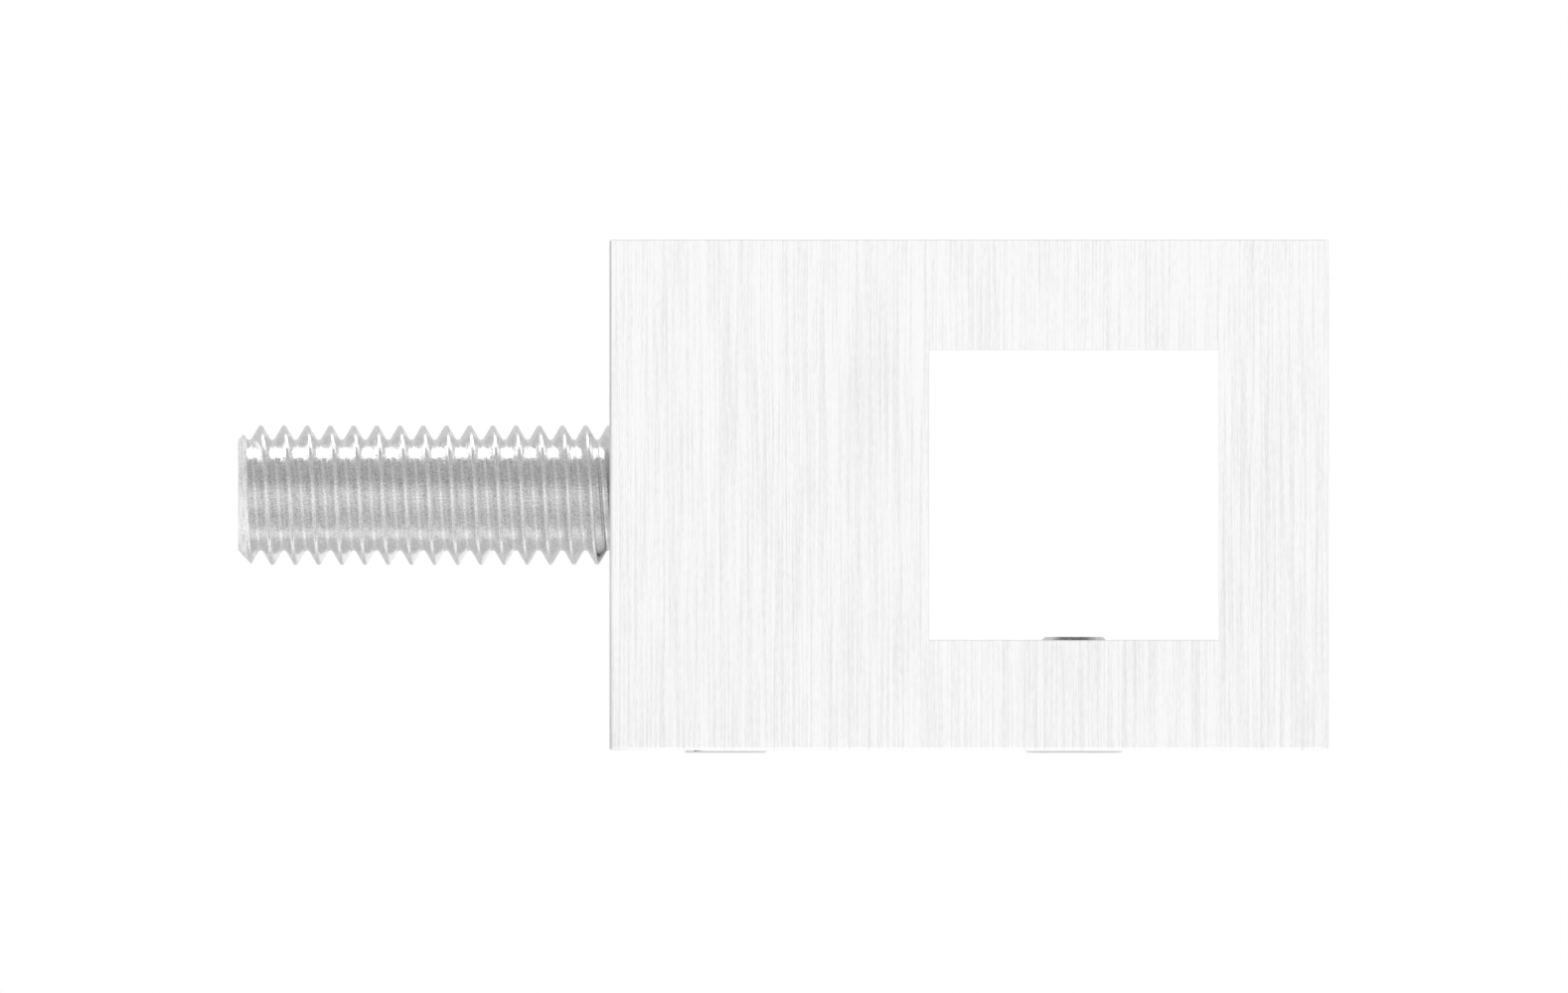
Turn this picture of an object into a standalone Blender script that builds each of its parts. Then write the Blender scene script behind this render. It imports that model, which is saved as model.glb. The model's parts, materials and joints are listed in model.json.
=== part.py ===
"""A holder that carries a square crossbar beside a railing post.

A ground steel block has a square hole for the bar. A threaded stud stands out of its left face and
screws into the post. A short set screw under the hole clamps the bar, a longer one locks the stud.

Metres, +Z up. The origin is where the stud's axis meets the block's post face. +X runs away from the
post, the bar runs along Y, and both set screws are driven from below.
"""

import math

import bmesh
import bpy
from mathutils import Vector

# The crossbar and the square hole that it slides through
BAR_SIDE = 0.012
BAR_PLAY = 0.0005
HOLE_WALL = 0.00475  # metal above, below and beyond the hole
BLOCK_DEPTH = 0.022  # along the bar
EDGE_RADIUS = 0.0002  # along the block's outer edges

# The stud
STUD_DIAMETER = 0.006
STUD_PITCH = 0.001
STUD_REACH = 0.016  # out of the post face
STUD_DEPTH = 0.009  # inside the block
STUD_CHAMFER = 0.0006
STUD_CREST = 0.00047  # first crest on the stud's underside, past the post face

# The screw that clamps the bar
CLAMP_DIAMETER = 0.005
CLAMP_PITCH = 0.0008
CLAMP_CHAMFER = 0.00048  # at the drive end
CLAMP_POINT = 0.0025  # diameter of the cup's rim
CLAMP_KEY = 0.0025  # socket across flats
CLAMP_SOCKET = 0.002
CLAMP_RISE = 0.00014  # tip above the hole's floor

# The screw that locks the stud
LOCK_DIAMETER = 0.004
LOCK_PITCH = 0.0007
LOCK_CHAMFER = 0.00025
LOCK_POINT = 0.002
LOCK_KEY = 0.002
LOCK_SOCKET = 0.0025
LOCK_SETBACK = 0.004  # from the stud's inner end back to the screw's axis
LOCK_GAP = 0.0001  # between its point and the stud's crests

# What the bores and screws share
THREAD_PLAY = 0.0001  # radial, between a thread's crests and its bore
DRIVE_PROUD = 0.00012  # drive ends below the block
STUD_BORE_RELIEF = 0.0014  # bore past the stud's end
STUD_BORE_WEB = 0.0015  # metal between the drill's tip and the square hole
MOUTH_CHAMFER = 0.0003
SOCKET_MOUTH = 0.0001  # mouth chamfer past the socket's corners

# Metric thread form, as shares of the pitch
CREST_FLAT = 1 / 8
THREAD_DEPTH = 0.61343
FLANK_ANGLE = math.radians(30)

DRILL_HALF_ANGLE = math.radians(59)
CUP_HALF_ANGLE = math.radians(60)
SMOOTH_ANGLE = math.radians(25)

# Facets around each round form
STUD_FACETS = 32
SCREW_FACETS = 18
BORE_FACETS = 48
EDGE_FACETS = 3
ROUND_PROFILE = 0.5  # an edge rounded to a circular arc, between 0 for hollow and 1 for square

# How far a cutter runs past the face that it cuts
OVERRUN = 0.0005

# Sizes and places that follow from the ones above
HOLE_SIDE = BAR_SIDE + BAR_PLAY
BLOCK_HEIGHT = HOLE_SIDE + 2 * HOLE_WALL
STUD_BORE_RADIUS = STUD_DIAMETER / 2 + THREAD_PLAY
STUD_BORE_DEPTH = STUD_DEPTH + STUD_BORE_RELIEF
DRILL_TIP = STUD_BORE_RADIUS / math.tan(DRILL_HALF_ANGLE)
HOLE_START = STUD_BORE_DEPTH + DRILL_TIP + STUD_BORE_WEB
HOLE_X = HOLE_START + HOLE_SIDE / 2
BLOCK_LENGTH = HOLE_START + HOLE_SIDE + HOLE_WALL
BASE_Z = -BLOCK_HEIGHT / 2
DRIVE_Z = BASE_Z - DRIVE_PROUD
CLAMP_LENGTH = DRIVE_PROUD + HOLE_WALL + CLAMP_RISE
LOCK_LENGTH = DRIVE_PROUD + BLOCK_HEIGHT / 2 - STUD_DIAMETER / 2 - LOCK_GAP
LOCK_X = STUD_DEPTH - LOCK_SETBACK


def clear_scene():
    """Removes whatever objects the file came with."""
    for thing in list(bpy.data.objects):
        bpy.data.objects.remove(thing, do_unlink=True)


def steel(name, colour, roughness):
    """A metal of one colour."""
    material = bpy.data.materials.new(name)
    material.use_nodes = True
    shader = material.node_tree.nodes["Principled BSDF"]
    shader.inputs["Base Color"].default_value = (*colour, 1)
    shader.inputs["Metallic"].default_value = 1
    shader.inputs["Roughness"].default_value = roughness
    return material


def make_object(name, form):
    """Puts a finished bmesh into the scene under its name."""
    mesh = bpy.data.meshes.new(name)
    bmesh.ops.recalc_face_normals(form, faces=form.faces)
    form.to_mesh(mesh)
    form.free()
    thing = bpy.data.objects.new(name, mesh)
    bpy.context.collection.objects.link(thing)
    return thing


def box(name, low, high):
    """A plain box between two corners."""
    form = bmesh.new()
    bmesh.ops.create_cube(form, size=1)
    low, high = Vector(low), Vector(high)
    bmesh.ops.scale(form, vec=high - low, verts=form.verts)
    bmesh.ops.translate(form, vec=(low + high) / 2, verts=form.verts)
    return make_object(name, form)


def turned(name, outline, facets):
    """An outline of (radius, height) points turned about Z. Its first and last points are on the axis."""
    form = bmesh.new()
    rings = []
    for radius, height in outline[1:-1]:
        corners = [math.tau * index / facets for index in range(facets)]
        rings.append([
            form.verts.new((radius * math.cos(turn), radius * math.sin(turn), height)) for turn in corners
        ])
    for lower, upper in zip(rings, rings[1:]):
        for index in range(facets):
            after = (index + 1) % facets
            form.faces.new((lower[index], lower[after], upper[after], upper[index]))
    for ring, (_, height) in ((rings[0], outline[0]), (rings[-1], outline[-1])):
        centre = form.verts.new((0, 0, height))
        for index in range(facets):
            form.faces.new((centre, ring[index], ring[(index + 1) % facets]))
    return make_object(name, form)


def thread_points(diameter, pitch):
    """One pitch of a metric thread, as (radius, height) points from the start of a crest."""
    crest = diameter / 2
    root = crest - THREAD_DEPTH * pitch
    flat = CREST_FLAT * pitch
    flank = (crest - root) * math.tan(FLANK_ANGLE)
    return [(crest, -flat / 2), (crest, flat / 2), (root, flat / 2 + flank), (root, pitch - flat / 2 - flank)]


def threaded_rod(name, diameter, pitch, low, high, crest, facets):
    """A right-hand thread along Z that runs past low and high. A crest passes +X at height crest.

    One pitch of the profile climbs the helix. Each turn shares its edge with the next one, and a fan of
    triangles to a point on the axis closes each end.
    """
    profile = thread_points(diameter, pitch)
    first = crest + pitch * (math.floor((low - crest) / pitch) - 2)
    turns = math.ceil((high - first) / pitch) + 1
    steps = turns * facets
    form = bmesh.new()
    points = {}

    def point(step, place):
        """The profile's point number place after so many steps. The one past its end is the next turn's first."""
        if place == len(profile):
            step, place = step + facets, 0
        if (step, place) not in points:
            radius, rise = profile[place]
            turn = math.tau * (step % facets) / facets
            height = first + pitch * step / facets + rise
            points[step, place] = form.verts.new((radius * math.cos(turn), radius * math.sin(turn), height))
        return points[step, place]

    for step in range(steps):
        for place in range(len(profile)):
            form.faces.new((
                point(step, place), point(step + 1, place), point(step + 1, place + 1), point(step, place + 1)
            ))
    for step, height in ((0, first), (steps, first + pitch * (turns + 1))):
        centre = form.verts.new((0, 0, height))
        rim = [point(step + index, 0) for index in range(facets + 1)]
        rim += [point(step, place) for place in range(len(profile) - 1, 0, -1)]
        for here, after in zip(rim, rim[1:] + rim[:1]):
            form.faces.new((centre, here, after))
    return make_object(name, form)


def combine(body, tool, operation):
    """Cuts the tool out of the body, or keeps what both hold, and clears the tool away."""
    modifier = body.modifiers.new(tool.name, "BOOLEAN")
    modifier.operation = operation
    modifier.solver = "EXACT"
    modifier.object = tool
    view = bpy.context.evaluated_depsgraph_get()
    shaped = bpy.data.meshes.new_from_object(body.evaluated_get(view))
    body.modifiers.clear()
    body.data = shaped
    bpy.data.objects.remove(tool, do_unlink=True)


def finish(thing, material):
    """Gives a piece its material, and shades its round forms smooth between sharp edges."""
    thing.data.name = thing.name
    thing.data.materials.clear()
    thing.data.materials.append(material)
    thing.data.shade_smooth()
    thing.data.set_sharp_from_angle(angle=SMOOTH_ANGLE)


def bore(radius, depth, tip):
    """A cutter for a bore up from Z = 0, with a chamfered mouth. tip is the height of its pointed end."""
    mouth = radius + MOUTH_CHAMFER
    return turned(
        "bore",
        [(0, -OVERRUN), (mouth + OVERRUN, -OVERRUN), (radius, MOUTH_CHAMFER), (radius, depth), (0, depth + tip)],
        BORE_FACETS,
    )


def make_block(material):
    """The block with its square hole, the stud's blind bore and the two screws' bores."""
    block = box("block", (0, -BLOCK_DEPTH / 2, BASE_Z), (BLOCK_LENGTH, BLOCK_DEPTH / 2, -BASE_Z))
    form = bmesh.new()
    form.from_mesh(block.data)
    bmesh.ops.bevel(
        form, geom=form.edges[:], offset=EDGE_RADIUS, segments=EDGE_FACETS, profile=ROUND_PROFILE,
        affect="EDGES",
    )
    form.to_mesh(block.data)
    form.free()

    reach = BLOCK_DEPTH / 2 + OVERRUN
    half = HOLE_SIDE / 2
    hole = box("hole", (HOLE_X - half, -reach, -half), (HOLE_X + half, reach, half))
    combine(block, hole, "DIFFERENCE")

    stud_bore = bore(STUD_BORE_RADIUS, STUD_BORE_DEPTH, DRILL_TIP)
    stud_bore.rotation_euler.y = math.pi / 2
    combine(block, stud_bore, "DIFFERENCE")

    clamp_bore = bore(CLAMP_DIAMETER / 2 + THREAD_PLAY, HOLE_WALL + OVERRUN, 0)
    clamp_bore.location = (HOLE_X, 0, BASE_Z)
    combine(block, clamp_bore, "DIFFERENCE")

    lock_bore = bore(LOCK_DIAMETER / 2 + THREAD_PLAY, BLOCK_HEIGHT / 2, 0)
    lock_bore.location = (LOCK_X, 0, BASE_Z)
    combine(block, lock_bore, "DIFFERENCE")
    finish(block, material)


def make_stud(material):
    """The stud: a thread cut square at both ends, with its ends chamfered."""
    low, high = -STUD_REACH, STUD_DEPTH
    stud = threaded_rod("post_stud", STUD_DIAMETER, STUD_PITCH, low, high, STUD_CREST, STUD_FACETS)
    end = STUD_DIAMETER / 2 - STUD_CHAMFER
    outer = STUD_DIAMETER / 2 + OVERRUN
    chamfer = outer - end
    blank = turned(
        "blank",
        [(0, low), (end, low), (outer, low + chamfer), (outer, high - chamfer), (end, high), (0, high)],
        STUD_FACETS,
    )
    combine(stud, blank, "INTERSECT")
    stud.rotation_euler.y = math.pi / 2
    finish(stud, material)


def hexagon_socket(key, depth):
    """A cutter for a hexagon socket up from Z = 0, with the point that its drill leaves."""
    corner = key / math.sqrt(3)
    tip = key / 2 / math.tan(CUP_HALF_ANGLE)
    return turned("socket", [(0, -OVERRUN), (corner, -OVERRUN), (corner, depth), (0, depth + tip)], 6)


def make_set_screw(name, length, diameter, pitch, chamfer, point, key, socket, material):
    """A set screw that stands on its drive end at Z = 0, with a socket there and a cup at its point."""
    outer = diameter / 2 + OVERRUN
    face = diameter / 2 - chamfer
    rim = point / 2
    cup = rim / math.tan(CUP_HALF_ANGLE)
    mouth = key / math.sqrt(3) + SOCKET_MOUTH
    recess = mouth - key / 2 + SOCKET_MOUTH
    screw = threaded_rod(name, diameter, pitch, 0, length, 0, SCREW_FACETS)
    blank = turned(
        "blank",
        [
            (0, recess),
            (mouth - recess, recess),
            (mouth, 0),
            (face, 0),
            (outer, outer - face),
            (outer, length - outer + rim),
            (rim, length),
            (0, length - cup),
        ],
        SCREW_FACETS,
    )
    combine(screw, blank, "INTERSECT")
    combine(screw, hexagon_socket(key, socket), "DIFFERENCE")
    finish(screw, material)
    return screw


def make_clamp_screw(material):
    """The short screw under the square hole."""
    screw = make_set_screw(
        "bar_clamp_screw", CLAMP_LENGTH, CLAMP_DIAMETER, CLAMP_PITCH,
        CLAMP_CHAMFER, CLAMP_POINT, CLAMP_KEY, CLAMP_SOCKET, material,
    )
    screw.location = (HOLE_X, 0, DRIVE_Z)


def make_lock_screw(material):
    """The longer screw that reaches up to the stud."""
    screw = make_set_screw(
        "stud_lock_screw", LOCK_LENGTH, LOCK_DIAMETER, LOCK_PITCH,
        LOCK_CHAMFER, LOCK_POINT, LOCK_KEY, LOCK_SOCKET, material,
    )
    screw.location = (LOCK_X, 0, DRIVE_Z)


clear_scene()
make_block(steel("ground steel", (0.94, 0.94, 0.94), 0.32))
make_stud(steel("bright rolled steel", (0.8, 0.8, 0.8), 0.22))
make_clamp_screw(steel("clamp screw steel", (0.8, 0.8, 0.8), 0.3))
make_lock_screw(steel("lock screw steel", (0.82, 0.82, 0.82), 0.3))
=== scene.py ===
"""The looks of a railing crossbar holder: a ground steel block with a square hole, a threaded stud and
two set screws, on a pale floor under soft studio light.

Metres, +Z up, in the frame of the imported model: the origin is where the stud's axis meets the block's post
face, +X runs away from the post, the crossbar runs along Y and the screws are driven from below.
"""

import json
import math

import bmesh
import bpy
import numpy as np
from bpy.props import FloatProperty, FloatVectorProperty, PointerProperty
from bpy.types import Operator, Panel, PropertyGroup
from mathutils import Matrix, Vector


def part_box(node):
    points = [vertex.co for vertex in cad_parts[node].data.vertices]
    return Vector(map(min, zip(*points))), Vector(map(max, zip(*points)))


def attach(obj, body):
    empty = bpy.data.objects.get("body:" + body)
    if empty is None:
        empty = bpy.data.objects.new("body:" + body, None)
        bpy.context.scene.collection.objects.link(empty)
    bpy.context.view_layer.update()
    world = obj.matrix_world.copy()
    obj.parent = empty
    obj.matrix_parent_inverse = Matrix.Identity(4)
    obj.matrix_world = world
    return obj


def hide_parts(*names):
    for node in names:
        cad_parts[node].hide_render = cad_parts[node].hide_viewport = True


bl_info = {
    "name": "Crossbar holder",
    "version": (1, 0, 0),
    "blender": (4, 5, 0),
    "location": "View3D > Sidebar > Holder",
    "description": "Makes the block, stud and set screws of a railing crossbar holder, and a studio for them",
    "category": "Object",
}

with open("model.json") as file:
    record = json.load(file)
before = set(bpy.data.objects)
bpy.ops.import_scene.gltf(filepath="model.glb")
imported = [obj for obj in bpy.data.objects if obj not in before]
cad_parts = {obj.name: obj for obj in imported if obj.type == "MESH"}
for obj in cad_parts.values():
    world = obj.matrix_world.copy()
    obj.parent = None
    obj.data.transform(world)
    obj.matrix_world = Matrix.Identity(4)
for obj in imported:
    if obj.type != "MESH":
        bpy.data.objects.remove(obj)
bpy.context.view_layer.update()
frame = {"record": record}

MM = 0.001

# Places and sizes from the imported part
BLOCK_LOW, BLOCK_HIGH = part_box("block")
STUD_LOW, STUD_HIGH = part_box("post_stud")
CLAMP_LOW, CLAMP_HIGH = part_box("bar_clamp_screw")
LOCK_LOW, LOCK_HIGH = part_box("stud_lock_screw")
SEAT = next(mount for mount in frame["record"]["mounts"] if mount["name"] == "bar_seat")
HOLE_X = SEAT["pos_m"][0]
HOLE_HALF = SEAT["pos_m"][2]
STUD_RADIUS = (STUD_HIGH.z - STUD_LOW.z) / 2
DRIVE_Z = CLAMP_LOW.z

# The stud: a crest passes its underside this far from the post face
STUD_CREST = 0.47 * MM
STUD_CHAMFER = 0.6 * MM

# The set screws: the chamfer at the drive end, the diameter of the cup's rim, and the hexagon socket's width
# across flats and its depth
CLAMP_CHAMFER = 0.48 * MM
CLAMP_POINT = 2.5 * MM
CLAMP_KEY = 2.5 * MM
CLAMP_SOCKET = 2 * MM
LOCK_CHAMFER = 0.25 * MM
LOCK_POINT = 2 * MM
LOCK_KEY = 2 * MM
LOCK_SOCKET = 2.5 * MM

# Both set screws: a crest passes the front this far above the drive end, the socket's mouth is wider than its
# corners by so much, the cup's rim is so wide, and the cup and the socket's bottom are such cones
SCREW_CREST = 0.06 * MM
SOCKET_MOUTH = 0.1 * MM
CUP_LIP = 0.06 * MM
CUP_HALF_ANGLE = math.radians(60)

# The bores that the stud and the screws sit in: their play round the crests, the chamfer of their mouths,
# how much deeper the stud's bore is than the stud, the height at which the lock screw's bore ends, the half
# angle of the stud bore's drill point, and how far cutters reach past the steel
THREAD_PLAY = 0.1 * MM
MOUTH_CHAMFER = 0.3 * MM
STUD_BORE_RELIEF = 1.4 * MM
LOCK_BORE_TOP = 0.0
DRILL_HALF_ANGLE = math.radians(59)
OVERRUN = 0.5 * MM

# Metric thread form, as shares of the pitch, and the angle between a flank and a plane across the axis
THREAD_DEPTH = 0.61343
ROOT_RADIUS = 0.1443
CREST_HALF_FLAT = 1 / 16
STUD_FILLET = 0.075
SCREW_FILLET = 0.06
FLANK_ANGLE = math.radians(30)

# How finely each form is divided
TURN_STEPS = 96
BORE_STEPS = 128
CORNER_STEPS = 6
EDGE_STEPS = 6
BEND_POINTS = 5
FLANK_POINTS = 5
FLOOR_RINGS = 13
MERGE = 1e-7
SHARP_EDGE = math.radians(32)

# Streaks of each grain as (width, length, detail, share), the first two in millimetres
GROUND_STREAKS = [(0.1, 9, 1.5, 0.8), (0.055, 2.5, 1, 0.35), (0.06, 0.35, 0, 0.24), (2.5, 12, 1, 0.12)]
ROLLED_STREAKS = [(0.07, 0.4, 1, 0.4), (0.08, 0.1, 1, 0.9)]
TURNED_STREAKS = [(0.06, 0.8, 2, 0.6), (0.09, 0.12, 2, 0.5)]

# The noise of the streaks, and how far each layer of it is shifted from the one before
NOISE_ROUGHNESS = 0.6
FIRST_SHIFT = 1.3
LAYER_SHIFT = 3.7
SHIFT_SKEW = 0.7

# The softbox over the stud: its height, its ends along the stud, and the angles over the stud's top at which
# its front and back edges stand, from the front
BOX_HEIGHT = 80 * MM
BOX_ENDS = (-50 * MM, 34 * MM)
BOX_FRONT = math.radians(89)
BOX_BACK = math.radians(115)

# The strip of light under the stud: its ends along the stud, and its front and back
STRIP_ENDS = (-36 * MM, -0.2 * MM)
STRIP_SIDES = (-3.3 * MM, 1.2 * MM)

# The floor, just clear of the screws' ends, and where it fades into white
FLOOR_RADIUS = 600 * MM
FLOOR_GAP = 0.01 * MM
FLOOR_FADE = (60 * MM, 200 * MM)

# What steel mirrors of the floor: its level, and under the stud a painted shade, its level by the place along
# Y
FLOOR_LEVEL = 0.99
SHADE_UNDER_STUD = [
    (-60 * MM, 1.0), (-25 * MM, 0.92), (-13 * MM, 0.76), (-6 * MM, 0.79), (-3 * MM, 0.82), (2 * MM, 0.8),
    (10 * MM, 0.7), (60 * MM, 0.7),
]

# The places along X where the painted shade under the stud starts and ends
SHADE_UNDER_STUD_RISE = (-40 * MM, -25 * MM)
SHADE_UNDER_STUD_FALL = (2 * MM, -2 * MM)

# The room's level by the angle in degrees over the top from the front. None stands for the level of the
# front above, which is a setting.
ROOM = [
    (-180, 0.75), (-100, 1.0), (-20, 1.0), (3, 1.035), (31, None), (84, None),
    (94, 0.9), (124, 0.9), (132, 0.75), (180, 0.75),
]

# The low parts of the room behind, to the left and the right: where the direction's Y, Z and X reach them,
# and their levels
ROOM_BACK = (-0.1, 0.1)
ROOM_LOW = (0.32, 0.1)
ROOM_LEFT = (-0.15, -0.4)
ROOM_LEFT_LEVEL = 0.6
ROOM_RIGHT = (0.15, 0.4)
ROOM_RIGHT_LEVEL = 1.0

# What the camera sees
VIEW_WIDTH = 67.58 * MM
VIEW_X = 7.52 * MM
VIEW_Z = -0.06 * MM
CAMERA_DISTANCE = 300 * MM


# Meshes

def cells(grid):
    """The four corner values of each cell of a grid, in order round the cell."""
    return np.stack([grid[:-1, :-1], grid[1:, :-1], grid[1:, 1:], grid[:-1, 1:]], axis=2)


def ring_quads(rows, columns):
    """The quads of a stack of rings, four indices each. Each ring's last point joins its first."""
    index = np.arange(rows * columns).reshape(rows, columns)
    return cells(np.hstack([index, index[:, :1]])).reshape(-1, 4)


def surface(name, points, quads, grain):
    """A closed shell of an (n, 3) array of points, an (m, 4) array of quads and an (m, 4, 2) array of grain
    coordinates. Points that meet are merged, and faces point outwards.
    """
    mesh = bpy.data.meshes.new(name)
    mesh.vertices.add(len(points))
    mesh.vertices.foreach_set("co", points.astype(np.float32).ravel())
    mesh.loops.add(quads.size)
    mesh.loops.foreach_set("vertex_index", quads.astype(np.int32).ravel())
    mesh.polygons.add(len(quads))
    mesh.polygons.foreach_set("loop_start", np.arange(0, quads.size, 4, dtype=np.int32))
    mesh.update(calc_edges=True)
    layer = mesh.uv_layers.new(name="grain")
    layer.data.foreach_set("uv", grain.astype(np.float32).ravel())
    form = bmesh.new()
    form.from_mesh(mesh)
    bmesh.ops.remove_doubles(form, verts=form.verts, dist=MERGE)
    bmesh.ops.recalc_face_normals(form, faces=form.faces)
    form.to_mesh(mesh)
    form.free()
    thing = bpy.data.objects.new(name, mesh)
    bpy.context.scene.collection.objects.link(thing)
    return thing


def shade(thing, material):
    """Gives a piece its material, and shades it smooth between its sharp edges."""
    thing.data.materials.clear()
    thing.data.materials.append(material)
    thing.data.shade_smooth()
    thing.data.set_sharp_from_angle(angle=SHARP_EDGE)


def place(thing, node, body):
    """Puts a finished piece in the place of its CAD node."""
    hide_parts(node)
    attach(thing, body)


def along_x(radius, turn, height):
    """A seat for the stud: its axis is X, and turn 0 is its underside. It gives (h, r sin t, -r cos t)."""
    return np.stack([height + 0 * turn, radius * np.sin(turn), -radius * np.cos(turn)], axis=-1)


def upright(x):
    """A seat for a screw: its axis is upright at x, and heights start at its drive end. It gives
    (x + r cos t, r sin t, h).
    """
    return lambda radius, turn, height: np.stack(
        [x + radius * np.cos(turn), radius * np.sin(turn), DRIVE_Z + height + 0 * turn], axis=-1
    )


def ring_rows(seat, rows, steps):
    """A stack of rings. Each row is a (radius, height) pair, and each of the two is a number or one value for
    each turn of the ring. The point at turn t is the seat's (r(t), t, h(t)).
    """
    turn = np.arange(steps)[None, :] * (math.tau / steps)
    radius = np.stack([np.broadcast_to(row[0], steps) for row in rows])
    height = np.stack([np.broadcast_to(row[1], steps) for row in rows])
    points = seat(radius, turn, height).reshape(-1, 3)
    quads = ring_quads(len(rows), steps)
    flat = np.stack([radius * np.cos(turn), radius * np.sin(turn)], axis=-1).reshape(-1, 2) / MM
    return points, quads, flat[quads]


def turned_cutter(name, seat, outline):
    """A closed outline of (radius, height) rows, from axis to axis, turned about the seat's axis."""
    return surface(name, *ring_rows(seat, outline, BORE_STEPS))


def cut(body, tool):
    """Takes the tool's shape out of the body and clears the tool away."""
    modifier = body.modifiers.new(tool.name, "BOOLEAN")
    modifier.operation = "DIFFERENCE"
    modifier.solver = "EXACT"
    modifier.object = tool
    view = bpy.context.evaluated_depsgraph_get()
    shaped = bpy.data.meshes.new_from_object(body.evaluated_get(view))
    body.modifiers.clear()
    body.data = shaped
    bpy.data.objects.remove(tool, do_unlink=True)


# The block

def block_shell(upright_edge, top_edge, bottom_edge, corner_edge, mouth):
    """The block round its square hole, as a ring of cross-sections that closes on itself.

    Every row is a rounded rectangle with half sizes a and b and corner radius c, at depth y. Its point at
    angle p of a corner with signs (s, t) is (x + s (a - c) + c cos p, y, t (b - c) + c sin p). The rows run
    from the hole's wall round its mouth, over the front face and its edge to the outside, and round the back
    to the hole. On the outer edge at angle q, a and b shrink by r (1 - sin q), with r the radius of the
    upright edges for a and of the top or bottom edge for b, y moves in by r (1 - cos q), with r going from
    one to the other as cos^2 p and sin^2 p, and c is the corner's radius times sin q. At the mouth with
    radius m, a and b grow by m (1 - cos q), c is m (2 - cos q), and y moves in by m (1 - sin q).
    """
    middle_x = (BLOCK_LOW.x + BLOCK_HIGH.x) / 2
    half_x, half_y, half_z = (BLOCK_HIGH - BLOCK_LOW) / 2
    corner = np.repeat(np.arange(4), CORNER_STEPS + 1)
    angle = (corner + np.tile(np.linspace(0, 1, CORNER_STEPS + 1), 4))[None, :] * (math.pi / 2)
    sign_x = np.array([1, -1, -1, 1])[corner][None, :]
    sign_z = np.array([1, 1, -1, -1])[corner][None, :]
    arc = np.linspace(0, math.pi / 2, EDGE_STEPS + 1)[:, None]
    out = mouth * (1 - np.cos(arc))
    inner = [HOLE_X, HOLE_HALF + out, HOLE_HALF + out, mouth + out, half_y - mouth + mouth * np.sin(arc)]
    off = 1 - np.sin(arc)
    level_edge = np.where(sign_z > 0, top_edge, bottom_edge)
    radius = upright_edge * np.cos(angle) ** 2 + level_edge * np.sin(angle) ** 2
    outer = [
        middle_x, half_x - upright_edge * off, half_z - level_edge * off, corner_edge * np.sin(arc),
        half_y - radius * (1 - np.cos(arc)),
    ]
    grid = (len(arc), angle.size)
    front = [np.concatenate([np.broadcast_to(part, grid) for part in pair]) for pair in zip(inner, outer)]
    x, a, b, c = (np.concatenate([part, part[::-1], part[:1]]) for part in front[:4])
    y = np.concatenate([-front[4], front[4][::-1], -front[4][:1]])
    points = np.stack([
        x + sign_x * (a - c) + c * np.cos(angle),
        y,
        sign_z * (b - c) + c * np.sin(angle),
    ], axis=-1)
    quads = ring_quads(*points.shape[:2])
    return surface("holder_block", points.reshape(-1, 3), quads, np.zeros((len(quads), 4, 2)))


def lay_grain(thing):
    """Grain coordinates in millimetres: the first across the grain, the second along it.

    The outside is ground round the block, so its grain is upright on the sides that stand and along the bar
    above and below. In the hole it runs along the bar.
    """
    mesh = thing.data
    points = np.empty(len(mesh.vertices) * 3, np.float32)
    indices = np.empty(len(mesh.loops), np.int32)
    mesh.vertices.foreach_get("co", points)
    mesh.loops.foreach_get("vertex_index", indices)
    corners = points.reshape(-1, 3)[indices]
    sizes = np.empty(len(mesh.polygons), np.int32)
    normals = np.empty(len(mesh.polygons) * 3, np.float32)
    centres = np.empty(len(mesh.polygons) * 3, np.float32)
    mesh.polygons.foreach_get("loop_total", sizes)
    mesh.polygons.foreach_get("normal", normals)
    mesh.polygons.foreach_get("center", centres)
    normals = np.abs(np.repeat(normals.reshape(-1, 3), sizes, axis=0))
    centres = np.repeat(centres.reshape(-1, 3), sizes, axis=0)
    facing = normals.argmax(axis=1)
    from_axis = np.maximum(np.abs(centres[:, 0] - HOLE_X), np.abs(centres[:, 2]))
    inside = (from_axis < HOLE_HALF + MERGE) & (facing != 1)
    x, y, z = corners.T
    across = np.select([inside & (facing == 0), facing == 0], [z, y], x)
    along = np.select([inside, facing == 2], [y, y], z)
    grain = np.stack([across, along], axis=-1) / MM
    mesh.uv_layers["grain"].data.foreach_set("uv", grain.astype(np.float32).ravel())


def bore_outline(radius, depth, tip):
    """The cutter of a bore up from 0 with a chamfered mouth. tip is the height of its pointed end."""
    mouth = radius + MOUTH_CHAMFER
    return [
        (0, -OVERRUN), (mouth + OVERRUN, -OVERRUN), (radius, MOUTH_CHAMFER), (radius, depth), (0, depth + tip)
    ]


# The threads

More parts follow.
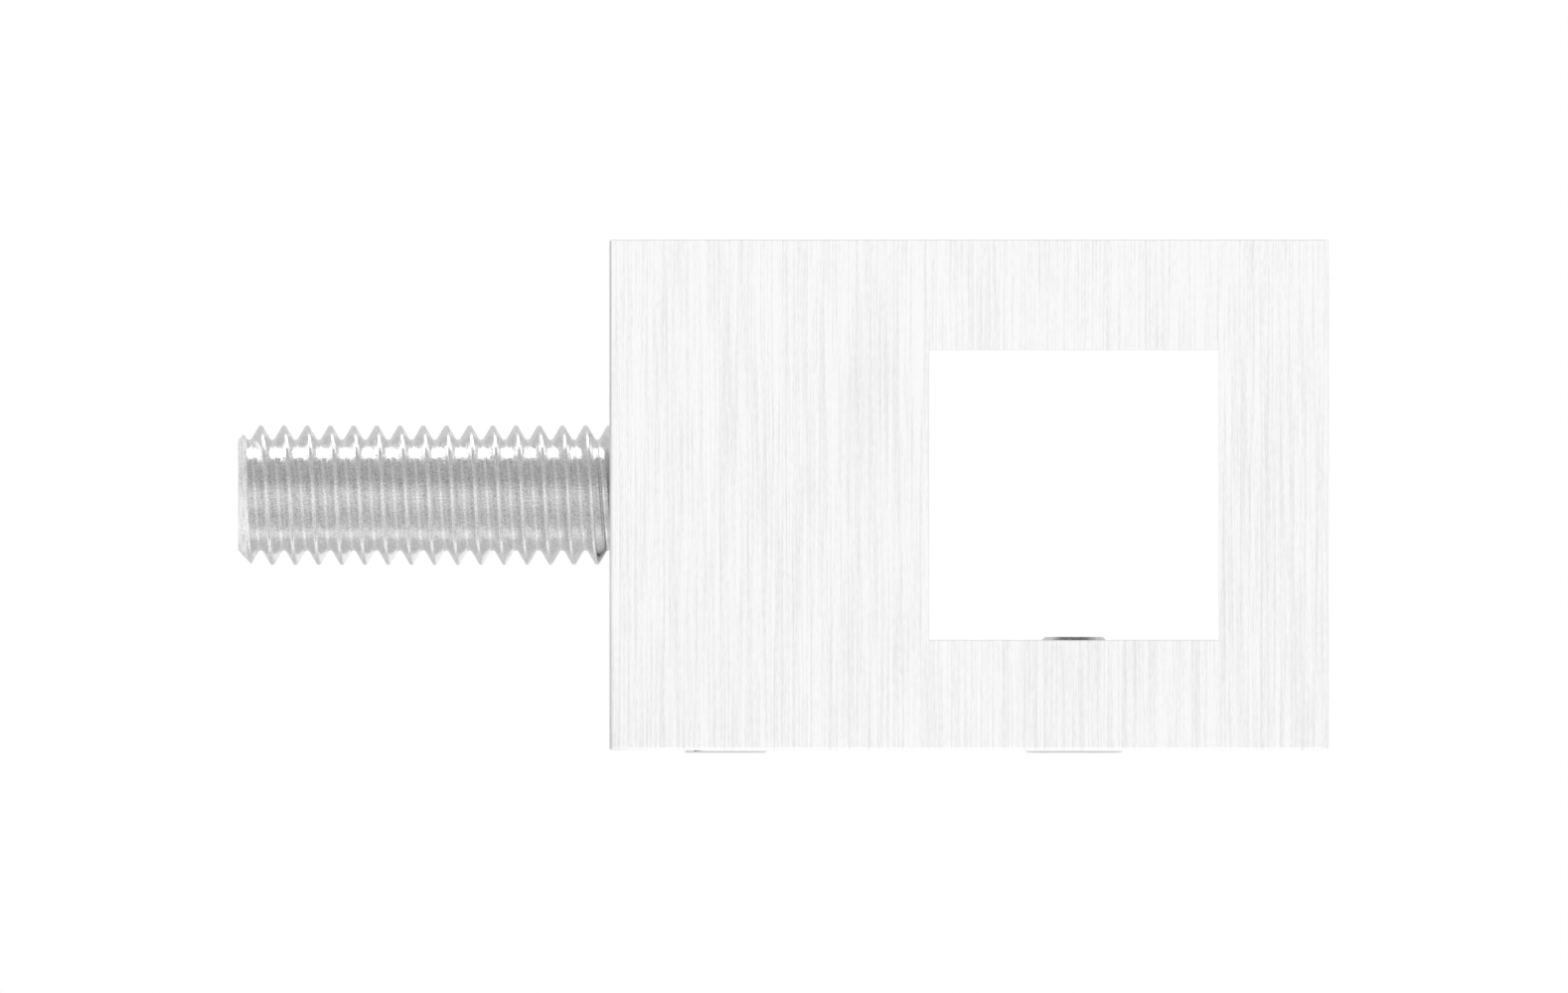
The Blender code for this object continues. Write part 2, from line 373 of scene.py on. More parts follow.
def thread_profile(radius, pitch, fillet):
    """One pitch of a metric thread from the middle of a crest, as shares u of the pitch and radii.

    With d the distance from the crest in pitches, the radius falls by 0 on the flat, round a circle of the
    fillet's radius to the flank, by (d - 1/16) / tan 30 degrees on the flank, and round the root's circle.
    """
    tangent = fillet * math.tan(FLANK_ANGLE)
    bend = np.linspace(0, math.pi / 2 - FLANK_ANGLE, BEND_POINTS)
    crest = CREST_HALF_FLAT - tangent + fillet * np.sin(bend)
    crest_fall = fillet * (1 - np.cos(bend))
    root = 0.5 - ROOT_RADIUS * np.sin(bend[::-1])
    root_fall = THREAD_DEPTH - ROOT_RADIUS * (1 - np.cos(bend[::-1]))
    flank = np.linspace(crest[-1], root[0], FLANK_POINTS)[1:-1]
    flank_fall = (flank - CREST_HALF_FLAT) / math.tan(FLANK_ANGLE)
    share = np.concatenate([[0], crest, flank, root])
    fall = np.concatenate([[0], crest_fall, flank_fall, root_fall])
    return (
        np.concatenate([share, 1 - share[-2:0:-1]]),
        radius - pitch * np.concatenate([fall, fall[-2:0:-1]]),
    )


def threaded(name, seat, radius, pitch, fillet, crest, low_end, high_end):
    """A right-hand thread between two ends. An end is its height, its rim's radius and the rows of rings that
    close it, and its chamfer widens from the rim at 45 degrees.

    Its two parameters are the turn t and the share u of one pitch. The point is at height
    h = first + pitch (t / 2 pi + u), held between low and high, and at the profile's radius there, which the
    chamfers limit to rim + h - low and rim + high - h. The last row of one turn is the first of the next. A
    rim that is wider than the roots is notched by them.
    """
    low, low_rim, _ = low_end
    high, high_rim, _ = high_end
    share, reach = thread_profile(radius, pitch, fillet)
    first = crest + pitch * (math.floor((low - crest) / pitch) - 2)
    turns = math.ceil((high - first) / pitch) + 1
    steps = turns * TURN_STEPS

    def radius_at(height, turn):
        """The radius where the thread passes this height at this turn."""
        place_in_pitch = ((height - crest) / pitch - turn / math.tau) % 1
        thread = np.interp(place_in_pitch, np.append(share, 1), np.append(reach, reach[0]))
        return np.minimum(thread, np.minimum(low_rim + height - low, high_rim + high - height))

    step = np.arange(steps + TURN_STEPS + 1)[:, None]
    turn = (step % TURN_STEPS) * (math.tau / TURN_STEPS)
    height = np.clip(first + pitch * (step / TURN_STEPS + share), low, high)
    points = seat(radius_at(height, turn), turn, height).reshape(-1, 3)
    index = np.arange(len(points)).reshape(-1, len(share))
    index = np.hstack([index[:-TURN_STEPS], index[TURN_STEPS:, :1]])
    across = np.append(share, 1)[None, :] * pitch
    around = np.arange(steps + 1)[:, None] * (math.tau * radius / TURN_STEPS)
    grain = np.stack(np.broadcast_arrays(across, around), axis=-1) / MM
    parts = [(points, cells(index).reshape(-1, 4), cells(grain).reshape(-1, 4, 2))]
    ring = np.arange(TURN_STEPS) * (math.tau / TURN_STEPS)
    for height, _, rows in (low_end, high_end):
        rows = [(radius_at(np.full_like(ring, height), ring), height)] + rows
        parts.append(ring_rows(seat, rows, TURN_STEPS))
    starts = np.cumsum([0] + [len(part[0]) for part in parts[:-1]])
    return surface(
        name,
        np.concatenate([part[0] for part in parts]),
        np.concatenate([part[1] + start for part, start in zip(parts, starts)]),
        np.concatenate([part[2] for part in parts]),
    )


def set_screw(name, low, high, pitch, chamfer, point, key, socket):
    """A set screw in its box from low to high, with a hexagon socket at its drive end and a cup at its point.

    The socket is the hexagon r(t) = (key / 2) / cos(t'), with t' the turn from the middle of its nearest
    side. A 45 degree mouth cone meets it at height mouth - r(t).
    """
    radius = (high.x - low.x) / 2
    length = high.z - low.z
    face = radius - chamfer
    rim = point / 2
    turn = np.arange(TURN_STEPS) * (math.tau / TURN_STEPS)
    side = (turn + math.pi / 6) % (math.pi / 3) - math.pi / 6
    hexagon = key / 2 / np.cos(side)
    mouth = key / math.sqrt(3) + SOCKET_MOUTH
    drive = [
        (mouth, 0),
        (hexagon, mouth - hexagon),
        (hexagon, socket),
        (key / 2, socket),
        (0, socket + key / 2 / math.tan(CUP_HALF_ANGLE)),
    ]
    lip = rim - CUP_LIP
    cup = [(lip, length), (0, length - lip / math.tan(CUP_HALF_ANGLE))]
    crest = SCREW_CREST + pitch / 4
    return threaded(
        name, upright((high.x + low.x) / 2), radius, pitch, SCREW_FILLET, crest,
        (0, face, drive), (length, rim, cup),
    )


# Materials

class Tree:
    """Adds and joins a node tree's nodes."""

    def __init__(self, tree):
        self.tree = tree

    def add(self, kind, inputs=None, **settings):
        """A node with its settings, and its inputs set to numbers or joined to other nodes' outputs."""
        node = self.tree.nodes.new(kind)
        for name, value in settings.items():
            setattr(node, name, value)
        for name, value in (inputs or {}).items():
            if isinstance(value, bpy.types.NodeSocket):
                self.tree.links.new(value, node.inputs[name])
            else:
                node.inputs[name].default_value = value
        return node

    def math(self, operation, first, second=0.0, clamp=False):
        """One sum of two numbers or outputs."""
        node = self.add("ShaderNodeMath", {0: first, 1: second}, operation=operation, use_clamp=clamp)
        return node.outputs[0]

    def places(self):
        """The x, y and z of the shaded point on its piece, in metres."""
        point = self.add("ShaderNodeTexCoord").outputs["Object"]
        return self.add("ShaderNodeSeparateXYZ", {0: point}).outputs

    def end(self, kind, result):
        """Adds the tree's output node and joins the result to it."""
        self.tree.links.new(result, self.add(kind).inputs["Surface"])


def new_tree(holder):
    """The empty node tree of a material or world."""
    holder.use_nodes = True
    holder.node_tree.nodes.clear()
    return Tree(holder.node_tree)


def streaks(tree, vector, width, length, detail, shift):
    """Noise from -0.5 to 0.5 that is drawn out along the grain, with its width and length in millimetres."""
    mapping = tree.add("ShaderNodeMapping", {
        "Vector": vector, "Scale": (1 / width, 1 / length, 1), "Location": (shift, shift * SHIFT_SKEW, shift),
    })
    noise = tree.add("ShaderNodeTexNoise", {
        "Vector": mapping.outputs[0], "Scale": 1.0, "Detail": detail, "Roughness": NOISE_ROUGHNESS,
    })
    return tree.math("SUBTRACT", noise.outputs["Fac"], 0.5)


def steel(name, colour, roughness, layers, zones, contrast, spread, bump, anisotropy=0.0):
    """Steel with a grain of layers of streaks. contrast and spread are how far the grain swings the colour
    and the roughness, and bump is its height in metres. zones(tree) gives what multiplies the colour, what
    adds to the roughness and what multiplies the height from place to place.
    """
    material = bpy.data.materials.new(name)
    tree = new_tree(material)
    grain = tree.add("ShaderNodeUVMap", uv_map="grain").outputs[0]
    total = None
    for number, (width, length, detail, share) in enumerate(layers):
        noise = streaks(tree, grain, width, length, detail, LAYER_SHIFT * number + FIRST_SHIFT)
        part = tree.math("MULTIPLY", noise, share)
        total = part if total is None else tree.math("ADD", total, part)
    tone = tree.math("ADD", 1.0, tree.math("MULTIPLY", total, contrast))
    rough = tree.math("ADD", roughness, tree.math("MULTIPLY", total, spread), clamp=True)
    shine, dullness, relief = zones(tree)
    tone = tree.math("MULTIPLY", tone, shine)
    rough = tree.math("ADD", rough, dullness, clamp=True)
    tint = tree.add("ShaderNodeVectorMath", {0: colour, "Scale": tone}, operation="SCALE").outputs[0]
    capped = tree.add("ShaderNodeVectorMath", {0: tint, 1: (1, 1, 1)}, operation="MINIMUM").outputs[0]
    shader = tree.add("ShaderNodeBsdfPrincipled", {
        "Base Color": capped, "Metallic": 1.0, "Roughness": rough, "Anisotropic": anisotropy,
        "Tangent": tree.add("ShaderNodeTangent", direction_type="UV_MAP", uv_map="grain").outputs[0],
    })
    height = tree.math("MULTIPLY", total, relief)
    lift = tree.add("ShaderNodeBump", {"Height": height, "Distance": bump, "Strength": 1.0}).outputs[0]
    tree.tree.links.new(lift, shader.inputs["Normal"])
    tree.end("ShaderNodeOutputMaterial", shader.outputs[0])
    return material


def soft_range(tree, value, low, high):
    """0 up to low, 1 from high on, and smooth between them. low may be the greater."""
    return tree.add("ShaderNodeMapRange", {
        "Value": value, "From Min": low, "From Max": high,
    }, interpolation_type="SMOOTHSTEP").outputs[0]


def ramp(tree, value, stops):
    """Straight lines between (value, level) stops, in order of their values."""
    low, high = stops[0][0], stops[-1][0]
    share = tree.math("DIVIDE", tree.math("SUBTRACT", value, low), high - low)
    node = tree.add("ShaderNodeValToRGB", {"Fac": share})
    highest = max(level for _, level in stops)
    elements = node.color_ramp.elements
    while len(elements) < len(stops):
        elements.new(0.5)
    for element, (stop, level) in zip(elements, stops):
        element.position = (stop - low) / (high - low)
        element.color = (level / highest,) * 3 + (1,)
    return tree.math("MULTIPLY", tree.add("ShaderNodeRGBToBW", {0: node.outputs[0]}).outputs[0], highest)


def blend(tree, factor, first, second):
    """The first level where the factor is 0, the second where it is 1."""
    node = tree.add("ShaderNodeMix", {"Factor": factor, "A": first, "B": second}, data_type="FLOAT")
    return node.outputs[0]


def between(tree, value, rise, fall):
    """1 between two ranges, over which it rises from 0 and falls back to 0."""
    return tree.math("MULTIPLY", soft_range(tree, value, *rise), soft_range(tree, value, *fall))


# The stud's crests and roots are burnished. The range is the distance from their middle, in half pitches.
BURNISHED_RANGE = (0.08, 0.2)
BURNISHED_TONE = 0.95
FLANK_DULLNESS = 0.04

# The stud's outer end is sawn. The ranges are distances from it, and its specks are streaks of one kind.
SAWN_RANGE = (0.42 * MM, 0.36 * MM)
SAWN_DULLNESS = 0.35
SAWN_RELIEF = 0.2
SPECKS = (0.1, 0.8, 2)
SPECK_SHIFT = 11.9
SPECK_CONTRAST = 1.2
SAWN_FACE_RANGE = (0.01 * MM, 0.03 * MM)
SAWN_FACE_TONE = 0.92
SAWN_CHAMFER_TONE = 1.12


def stud_zones(tree):
    """The rolled crests and roots are burnished, and the outer end is sawn rough and speckled.

    The grain's first coordinate is in millimetres from a crest, so at a pitch of 1 mm twice as much is a
    whole number at each crest and root.
    """
    grain = tree.add("ShaderNodeUVMap", uv_map="grain").outputs[0]
    across = tree.add("ShaderNodeSeparateXYZ", {0: grain}).outputs[0]
    halves = tree.math("FRACT", tree.math("MULTIPLY", across, 2.0))
    from_middle = tree.math("MINIMUM", halves, tree.math("SUBTRACT", 1.0, halves))
    flank = soft_range(tree, from_middle, *BURNISHED_RANGE)
    from_end = tree.math("SUBTRACT", tree.places()[0], STUD_LOW.x)
    sawn = soft_range(tree, from_end, *SAWN_RANGE)
    specks = tree.math("MULTIPLY", streaks(tree, grain, *SPECKS, SPECK_SHIFT), SPECK_CONTRAST)
    chamfer = soft_range(tree, from_end, *SAWN_FACE_RANGE)
    sawn_tone = tree.math("ADD", blend(tree, chamfer, SAWN_FACE_TONE, SAWN_CHAMFER_TONE), specks)
    return (
        blend(tree, sawn, blend(tree, flank, BURNISHED_TONE, 1.0), sawn_tone),
        blend(tree, sawn, blend(tree, flank, 0.0, FLANK_DULLNESS), SAWN_DULLNESS),
        blend(tree, sawn, 1.0, SAWN_RELIEF),
    )


# Painted shade: a darker line along the block's upright edges beside the post face. The ranges are distances
# from that face.
EDGE_SHADE_RISE = (0.002 * MM, 0.006 * MM)
EDGE_SHADE_FALL = (0.1 * MM, 0.07 * MM)
EDGE_SHADE_TONE = 0.8

# The bottom edges of the block's front and back are polished smoother and carry a painted highlight, a
# brighter colour. The range is how far past them a point is.
POLISHED_AND_HIGHLIT_RANGE = (-0.15 * MM, -0.1 * MM)
EDGE_HIGHLIGHT_TONE = 1.1
POLISHED_DULLNESS = -0.2

# Painted light on the block's sides: their tone by their height, brighter towards the top face
SIDE_PAINTED_LIGHT = [
    (0, 1.0), (0.7 * BLOCK_HIGH.z, 1.028), (BLOCK_HIGH.z - 0.03 * MM, 1.036), (BLOCK_HIGH.z, 1.0),
]


def block_zones(tree):
    """The sides carry painted light, a little brighter towards the top, the upright edges beside the post
    face carry a line of painted shade, and the bottom edges of the front and back are polished, with a
    painted highlight.
    """
    x, y, z = tree.places()
    # Painted shade along the upright edges beside the post face
    edge_shade = between(tree, x, EDGE_SHADE_RISE, EDGE_SHADE_FALL)
    past_edge = tree.math(
        "SUBTRACT", tree.math("SUBTRACT", tree.math("ABSOLUTE", y), z), BLOCK_HIGH.y - BLOCK_LOW.z
    )
    # Smoother bottom edges with a painted highlight
    polished_and_highlit = soft_range(tree, past_edge, *POLISHED_AND_HIGHLIT_RANGE)
    # Painted light on the sides by their height, and painted shade along the upright edges beside the post
    # face
    tone = blend(tree, edge_shade, ramp(tree, z, SIDE_PAINTED_LIGHT), EDGE_SHADE_TONE)
    return blend(tree, polished_and_highlit, tone, EDGE_HIGHLIGHT_TONE), blend(tree, polished_and_highlit, 0.0, POLISHED_DULLNESS), 1.0


# The screws' drive ends: a band of painted shade just above them, and a painted highlight on the smoother
# chamfer. The ranges are heights above them.
SHADE_BAND_RISE = (0.01 * MM, 0.02 * MM)
SHADE_BAND_FALL = (0.105 * MM, 0.095 * MM)
SHADE_BAND_TONE = 0.8
SHANK_RANGE = (0.2 * MM, 0.25 * MM)
DRIVE_HIGHLIGHT_TONE = 1.25
DRIVE_DULLNESS = -0.2


def screw_zones(tree):
    """The chamfer at the drive end is smoother and has a painted highlight, with a band of painted shade
    round it just above the end.
    """
    above = tree.math("SUBTRACT", tree.places()[2], DRIVE_Z)
    # Painted shade in a band just above the drive end
    shade_band = between(tree, above, SHADE_BAND_RISE, SHADE_BAND_FALL)
    shank = soft_range(tree, above, *SHANK_RANGE)
    # Painted highlight on the chamfer, painted shade in the band
    tone = blend(tree, shade_band, blend(tree, shank, DRIVE_HIGHLIGHT_TONE, 1.0), SHADE_BAND_TONE)
    return tone, blend(tree, shank, DRIVE_DULLNESS, 0.0), 1.0


def turned_steel(name, colour, roughness):
    """The plain turned steel of the set screws."""
    return steel(
        name, colour, roughness, TURNED_STREAKS, screw_zones, contrast=0.3, spread=0.2, bump=0.0015 * MM
    )


# Sizes and colours that a user would change

class BlockSettings(PropertyGroup):
    """The block's edges and its ground steel."""

    upright_edge: FloatProperty(
        name="Upright edges", description="Rounding along the upright edges of the front and back",
        default=0.2 * MM, min=0.02 * MM, max=2 * MM, unit="LENGTH", precision=5,
    )
    top_edge: FloatProperty(
        name="Top edges", description="Rounding along the top edges of the front and back",
        default=0.03 * MM, min=0.02 * MM, max=2 * MM, unit="LENGTH", precision=5,
    )
    bottom_edge: FloatProperty(
        name="Bottom edges", description="Rounding along the bottom edges of the front and back",
        default=0.1 * MM, min=0.02 * MM, max=2 * MM, unit="LENGTH", precision=5,
    )
    corner_edge: FloatProperty(
        name="Edges along the bar", description="Rounding along the four outer edges that run with the bar",
        default=0.1 * MM, min=0.02 * MM, max=2 * MM, unit="LENGTH", precision=5,
    )
    mouth_radius: FloatProperty(
        name="Hole edges", description="Rounding along the edges and in the corners of the square hole",
        default=0.02 * MM, min=0.01 * MM, max=0.5 * MM, unit="LENGTH", precision=5,
    )
    colour: FloatVectorProperty(
        name="Steel colour", description="Colour of the ground steel", subtype="COLOR", size=3,
        default=(0.938, 0.938, 0.938), min=0, max=1,
    )
    roughness: FloatProperty(
        name="Roughness", description="How far the ground faces spread a reflection",
        default=0.32, min=0, max=1, subtype="FACTOR",
    )
    grain_contrast: FloatProperty(
        name="Grain contrast", description="How far the grain's streaks swing in brightness",
        default=0.55, min=0, max=1, subtype="FACTOR",
    )


class ThreadSettings(PropertyGroup):
    """The pitches of the threads, and the steel of the stud and the set screws."""

    stud_pitch: FloatProperty(
        name="Stud pitch", description="Distance between the stud's crests",
        default=1 * MM, min=0.2 * MM, max=3 * MM, unit="LENGTH", precision=5,
    )
    clamp_pitch: FloatProperty(
        name="Clamp screw pitch", description="Distance between the clamp screw's crests",
        default=0.8 * MM, min=0.2 * MM, max=3 * MM, unit="LENGTH", precision=5,
    )
    lock_pitch: FloatProperty(
        name="Lock screw pitch", description="Distance between the lock screw's crests",
        default=0.7 * MM, min=0.2 * MM, max=3 * MM, unit="LENGTH", precision=5,
    )
    stud_colour: FloatVectorProperty(
        name="Stud colour", description="Colour of the stud's bright rolled steel", subtype="COLOR", size=3,
        default=(0.8, 0.8, 0.8), min=0, max=1,
    )
    clamp_colour: FloatVectorProperty(
        name="Clamp screw colour", description="Colour of the clamp screw's steel", subtype="COLOR", size=3,
        default=(0.8, 0.8, 0.8), min=0, max=1,
    )
    lock_colour: FloatVectorProperty(
        name="Lock screw colour", description="Colour of the lock screw's steel", subtype="COLOR", size=3,
        default=(0.82, 0.82, 0.82), min=0, max=1,
    )
    stud_roughness: FloatProperty(
        name="Stud roughness", description="How far the stud spreads a reflection",
        default=0.13, min=0, max=1, subtype="FACTOR",
    )
    screw_roughness: FloatProperty(
        name="Set screw roughness", description="How far the set screws spread a reflection",
        default=0.28, min=0, max=1, subtype="FACTOR",
    )


class StageSettings(PropertyGroup):
    """The studio's light and floor."""

    overhead: FloatProperty(
        name="Overhead level", description="Brightness of the softbox above, where 1 is white",
        default=2.4, min=0, max=10,
    )
    underneath: FloatProperty(
        name="Strip level", description="Brightness that the strip under the stud adds, where 1 is white",
        default=0.3, min=0, max=10,
    )
    front_above: FloatProperty(
        name="Front above level", description="Brightness of the room above the camera, where 1 is white",
        default=0.6, min=0, max=10,
    )
    floor_colour: FloatVectorProperty(
        name="Floor colour", description="Colour of the pale floor", subtype="COLOR", size=3,
        default=(0.97, 0.97, 0.97), min=0, max=1,
    )


# What makes each piece

class HOLDER_OT_make_block(Operator):
    """Make the block with its square hole and the bores for the stud and the screws"""

    bl_idname = "holder.make_block"
    bl_label = "Make block"

    def execute(self, context):
        settings = context.scene.holder_block
        block = block_shell(
            settings.upright_edge, settings.top_edge, settings.bottom_edge, settings.corner_edge,
            settings.mouth_radius,
        )
        radius = STUD_RADIUS + THREAD_PLAY
        outline = bore_outline(radius, STUD_HIGH.x + STUD_BORE_RELIEF, radius / math.tan(DRILL_HALF_ANGLE))
        cut(block, turned_cutter("stud_bore", along_x, outline))
        for low, high, top in (
            (CLAMP_LOW, CLAMP_HIGH, OVERRUN - HOLE_HALF), (LOCK_LOW, LOCK_HIGH, LOCK_BORE_TOP)
        ):
            outline = bore_outline((high.x - low.x) / 2 + THREAD_PLAY, top - BLOCK_LOW.z, 0)
            outline = [(reach, height + BLOCK_LOW.z - DRIVE_Z) for reach, height in outline]
            cut(block, turned_cutter("screw_bore", upright((low.x + high.x) / 2), outline))
        lay_grain(block)
        shade(block, steel(
            "ground steel", settings.colour, settings.roughness, GROUND_STREAKS, block_zones,
            contrast=settings.grain_contrast, spread=0.12, bump=0.0006 * MM, anisotropy=0.6,
        ))
        weighted = block.modifiers.new("flat faces", "WEIGHTED_NORMAL")
        weighted.keep_sharp = True
        place(block, "block", "holder")
        return {"FINISHED"}


class HOLDER_OT_make_stud(Operator):
    """Make the threaded stud that screws into the post"""

    bl_idname = "holder.make_stud"
    bl_label = "Make stud"

    def execute(self, context):
        settings = context.scene.holder_threads
        rim = STUD_RADIUS - STUD_CHAMFER
        stud = threaded(
            "threaded_stud", along_x, STUD_RADIUS, settings.stud_pitch, STUD_FILLET, STUD_CREST,
            (STUD_LOW.x, rim, [(0, STUD_LOW.x)]), (STUD_HIGH.x, rim, [(0, STUD_HIGH.x)]),
        )
        shade(stud, steel(
            "bright rolled steel", settings.stud_colour, settings.stud_roughness, ROLLED_STREAKS, stud_zones,
            contrast=0.8, spread=0.4, bump=0.008 * MM,
        ))
        stud_lit().objects.link(stud)
        place(stud, "post_stud", "stud")
        return {"FINISHED"}


class HOLDER_OT_make_set_screws(Operator):
    """Make the screw that clamps the bar and the screw that locks the stud"""

    bl_idname = "holder.make_set_screws"
    bl_label = "Make set screws"

    def execute(self, context):
        settings = context.scene.holder_threads
        clamp = set_screw(
            "clamp_set_screw", CLAMP_LOW, CLAMP_HIGH, settings.clamp_pitch,
            CLAMP_CHAMFER, CLAMP_POINT, CLAMP_KEY, CLAMP_SOCKET,
        )
        shade(clamp, turned_steel("clamp screw steel", settings.clamp_colour, settings.screw_roughness))
        place(clamp, "bar_clamp_screw", "clamp_screw")
        lock = set_screw(
            "lock_set_screw", LOCK_LOW, LOCK_HIGH, settings.lock_pitch,
            LOCK_CHAMFER, LOCK_POINT, LOCK_KEY, LOCK_SOCKET,
        )
        shade(lock, turned_steel("lock screw steel", settings.lock_colour, settings.screw_roughness))
        place(lock, "stud_lock_screw", "lock_screw")
        return {"FINISHED"}


class HOLDER_OT_make_stage(Operator):
    """Make the floor, the studio light and the camera"""

    bl_idname = "holder.make_stage"
    bl_label = "Make stage"

    def execute(self, context):
        settings = context.scene.holder_stage
        make_floor(settings.floor_colour)
        make_light(settings.overhead, settings.underneath, settings.front_above)
        make_camera()
        context.scene.view_settings.view_transform = "Standard"
        return {"FINISHED"}


# The studio

def make_floor(colour):
    """A round floor of rings, (r cos t, r sin t), that fades into the white round it and is clear from below.

    Steel sees it evenly bright, but for the painted shade under the stud: darker strips that it mirrors
    there.
    """
    rings = [(radius, -FLOOR_GAP) for radius in np.linspace(0, FLOOR_RADIUS, FLOOR_RINGS)]
    floor = surface("floor", *ring_rows(upright(0), rings, TURN_STEPS))
    if floor.data.polygons[0].normal.z < 0:
        floor.data.flip_normals()
    material = bpy.data.materials.new("pale floor")
    tree = new_tree(material)
    x, y, z = tree.places()
    # Painted shade in the floor that steel mirrors, under the stud
    along = between(tree, x, SHADE_UNDER_STUD_RISE, SHADE_UNDER_STUD_FALL)
    glow = blend(tree, along, FLOOR_LEVEL, ramp(tree, y, SHADE_UNDER_STUD))
    path = tree.add("ShaderNodeLightPath")
    seen = tree.math("MAXIMUM", path.outputs["Is Glossy Ray"], path.outputs["Is Transmission Ray"])
    lit = tree.add("ShaderNodeBsdfDiffuse", {"Color": (*colour, 1)}).outputs[0]
    white = tree.add(
        "ShaderNodeEmission", {"Color": (1, 1, 1, 1), "Strength": blend(tree, seen, 1.0, glow)}
    ).outputs[0]
    point = tree.add("ShaderNodeCombineXYZ", {0: x, 1: y, 2: z}).outputs[0]
    distance = tree.add("ShaderNodeVectorMath", {0: point}, operation="LENGTH").outputs["Value"]
    whiteness = tree.math("MAXIMUM", seen, soft_range(tree, distance, *FLOOR_FADE))
    top = tree.add("ShaderNodeMixShader", {0: whiteness, 1: lit, 2: white}).outputs[0]
    below = tree.add("ShaderNodeNewGeometry").outputs["Backfacing"]
    clear = tree.add("ShaderNodeBsdfTransparent").outputs[0]
    sides = tree.add("ShaderNodeMixShader", {0: below, 1: top, 2: clear}).outputs[0]
    tree.end("ShaderNodeOutputMaterial", sides)
    floor.data.materials.append(material)


def stud_lit():
    """The collection of what the two lamps for the stud light, which is the stud alone."""
    name = "lit by the stud lamps"
    return bpy.data.collections.get(name) or bpy.data.collections.new(name)


def stud_lamp(name, ends, sides, height, level, faces_up):
    """A flat lamp for the stud, between its ends along X and its sides along Y, where level 1 is white."""
    lamp = bpy.data.lights.new(name, "AREA")
    lamp.shape = "RECTANGLE"
    lamp.size = ends[1] - ends[0]
    lamp.size_y = sides[1] - sides[0]
    lamp.energy = level * math.pi * lamp.size * lamp.size_y
    thing = bpy.data.objects.new(name, lamp)
    thing.location = (sum(ends) / 2, sum(sides) / 2, height)
    thing.rotation_euler.x = math.pi if faces_up else 0
    thing.light_linking.receiver_collection = stud_lit()
    bpy.context.scene.collection.objects.link(thing)


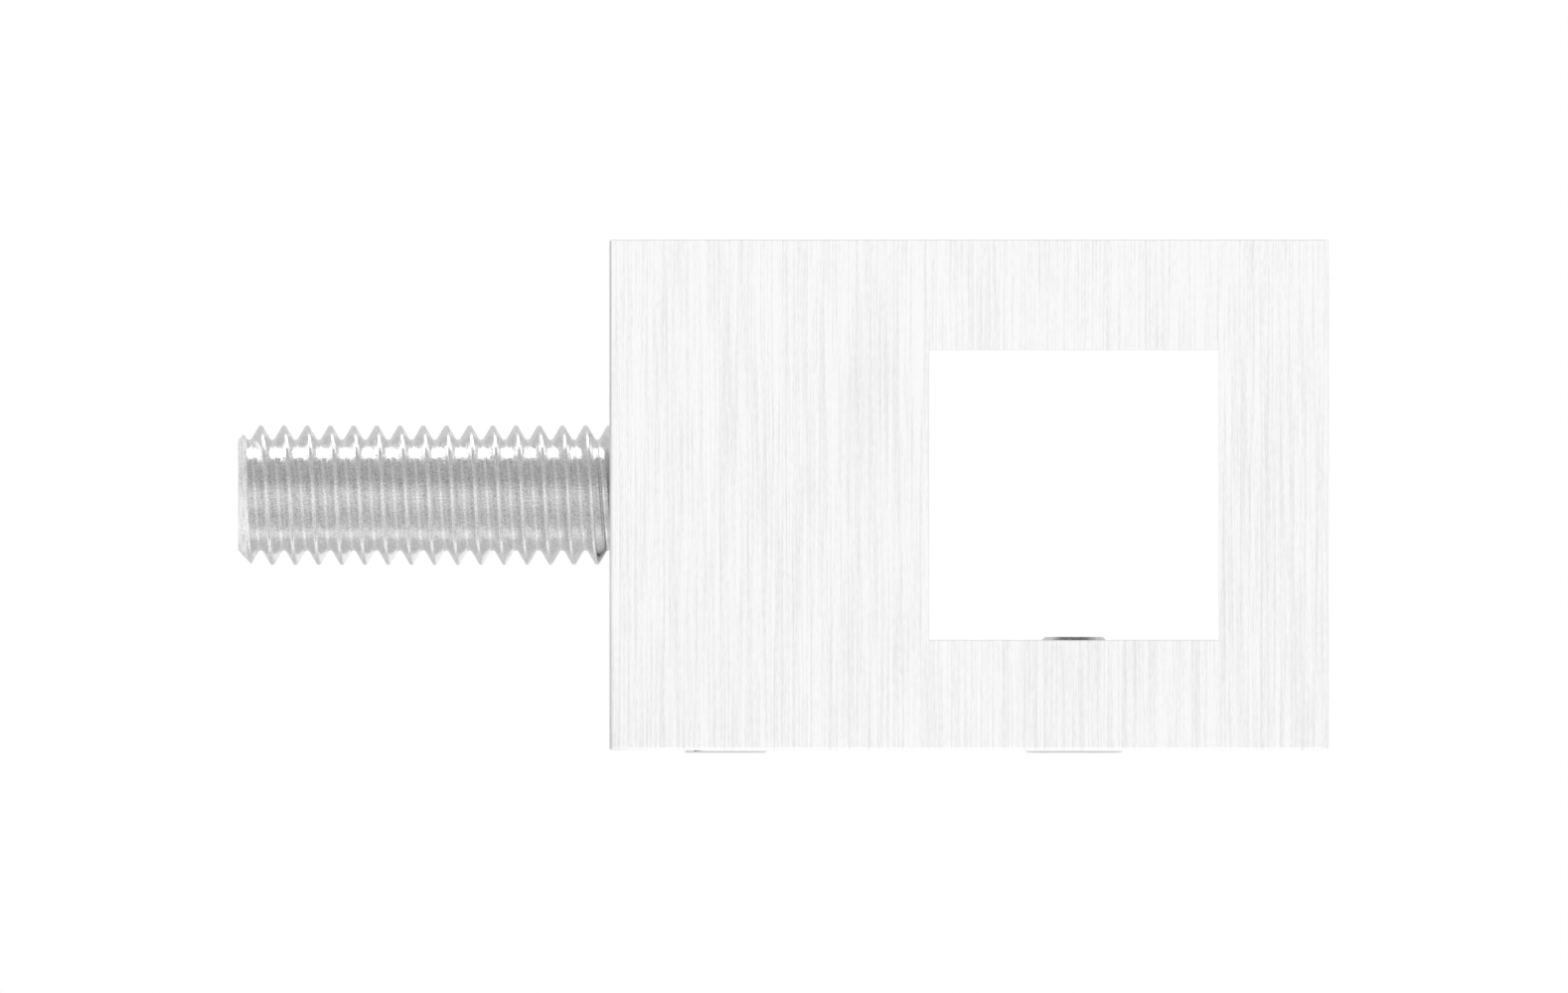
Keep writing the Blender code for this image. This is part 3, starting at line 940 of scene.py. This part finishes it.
def make_light(overhead, underneath, front_above):
    """Light from all round by its direction: the angle over the top from the front, and two low parts of the
    room behind. The camera and glass see plain white instead. A softbox and a strip light the stud.
    """
    world = bpy.data.worlds.new("studio")
    bpy.context.scene.world = world
    tree = new_tree(world)
    direction = tree.add("ShaderNodeTexCoord").outputs["Generated"]
    x, y, z = tree.add("ShaderNodeSeparateXYZ", {0: direction}).outputs
    turn = tree.math("ARCTAN2", z, tree.math("MULTIPLY", y, -1.0))
    over = tree.math("DIVIDE", turn, math.radians(1))
    room = ramp(tree, over, [(angle, front_above if level is None else level) for angle, level in ROOM])
    behind = tree.math("MULTIPLY", soft_range(tree, y, *ROOM_BACK), soft_range(tree, z, *ROOM_LOW))
    left = tree.math("MULTIPLY", soft_range(tree, x, *ROOM_LEFT), behind)
    right = tree.math("MULTIPLY", soft_range(tree, x, *ROOM_RIGHT), behind)
    level = blend(tree, right, blend(tree, left, room, ROOM_LEFT_LEVEL), ROOM_RIGHT_LEVEL)
    path = tree.add("ShaderNodeLightPath")
    seen = tree.math("MAXIMUM", path.outputs["Is Camera Ray"], path.outputs["Is Transmission Ray"])
    background = tree.add(
        "ShaderNodeBackground", {"Color": (1, 1, 1, 1), "Strength": blend(tree, seen, level, 1.0)}
    ).outputs[0]
    tree.end("ShaderNodeOutputWorld", background)

    sides = [-BOX_HEIGHT / math.tan(angle) for angle in (BOX_FRONT, BOX_BACK)]
    stud_lamp("softbox", BOX_ENDS, sides, BOX_HEIGHT, overhead, False)
    stud_lamp("strip", STRIP_ENDS, STRIP_SIDES, DRIVE_Z + FLOOR_GAP, underneath, True)


def make_camera():
    """A level camera square to the front, with no perspective."""
    lens = bpy.data.cameras.new("camera")
    lens.type = "ORTHO"
    lens.ortho_scale = VIEW_WIDTH
    camera = bpy.data.objects.new("camera", lens)
    camera.location = (VIEW_X, -CAMERA_DISTANCE, VIEW_Z)
    camera.rotation_euler = (math.pi / 2, 0, 0)
    bpy.context.scene.collection.objects.link(camera)
    bpy.context.scene.camera = camera


class HOLDER_PT_panel(Panel):
    """The holder's sizes, colours and makers"""

    bl_idname = "HOLDER_PT_panel"
    bl_label = "Crossbar holder"
    bl_space_type = "VIEW_3D"
    bl_region_type = "UI"
    bl_category = "Holder"

    def draw(self, context):
        for settings, makers in (
            (context.scene.holder_block, ["holder.make_block"]),
            (context.scene.holder_threads, ["holder.make_stud", "holder.make_set_screws"]),
            (context.scene.holder_stage, ["holder.make_stage"]),
        ):
            column = self.layout.box().column()
            for name in settings.__annotations__:
                column.prop(settings, name)
            for maker in makers:
                column.operator(maker)


SETTINGS = {"holder_block": BlockSettings, "holder_threads": ThreadSettings, "holder_stage": StageSettings}
OPERATORS = [HOLDER_OT_make_block, HOLDER_OT_make_stud, HOLDER_OT_make_set_screws, HOLDER_OT_make_stage]


def register():
    for group in SETTINGS.values():
        bpy.utils.register_class(group)
    for name, group in SETTINGS.items():
        setattr(bpy.types.Scene, name, PointerProperty(type=group))
    for kind in OPERATORS + [HOLDER_PT_panel]:
        bpy.utils.register_class(kind)


def unregister():
    for kind in reversed(OPERATORS + [HOLDER_PT_panel]):
        bpy.utils.unregister_class(kind)
    for name in SETTINGS:
        delattr(bpy.types.Scene, name)
    for group in reversed(SETTINGS.values()):
        bpy.utils.unregister_class(group)


def main():
    """Makes the pieces and the stage."""
    register()
    bpy.ops.holder.make_block()
    bpy.ops.holder.make_stud()
    bpy.ops.holder.make_set_screws()
    bpy.ops.holder.make_stage()


if __name__ == "__main__":
    main()
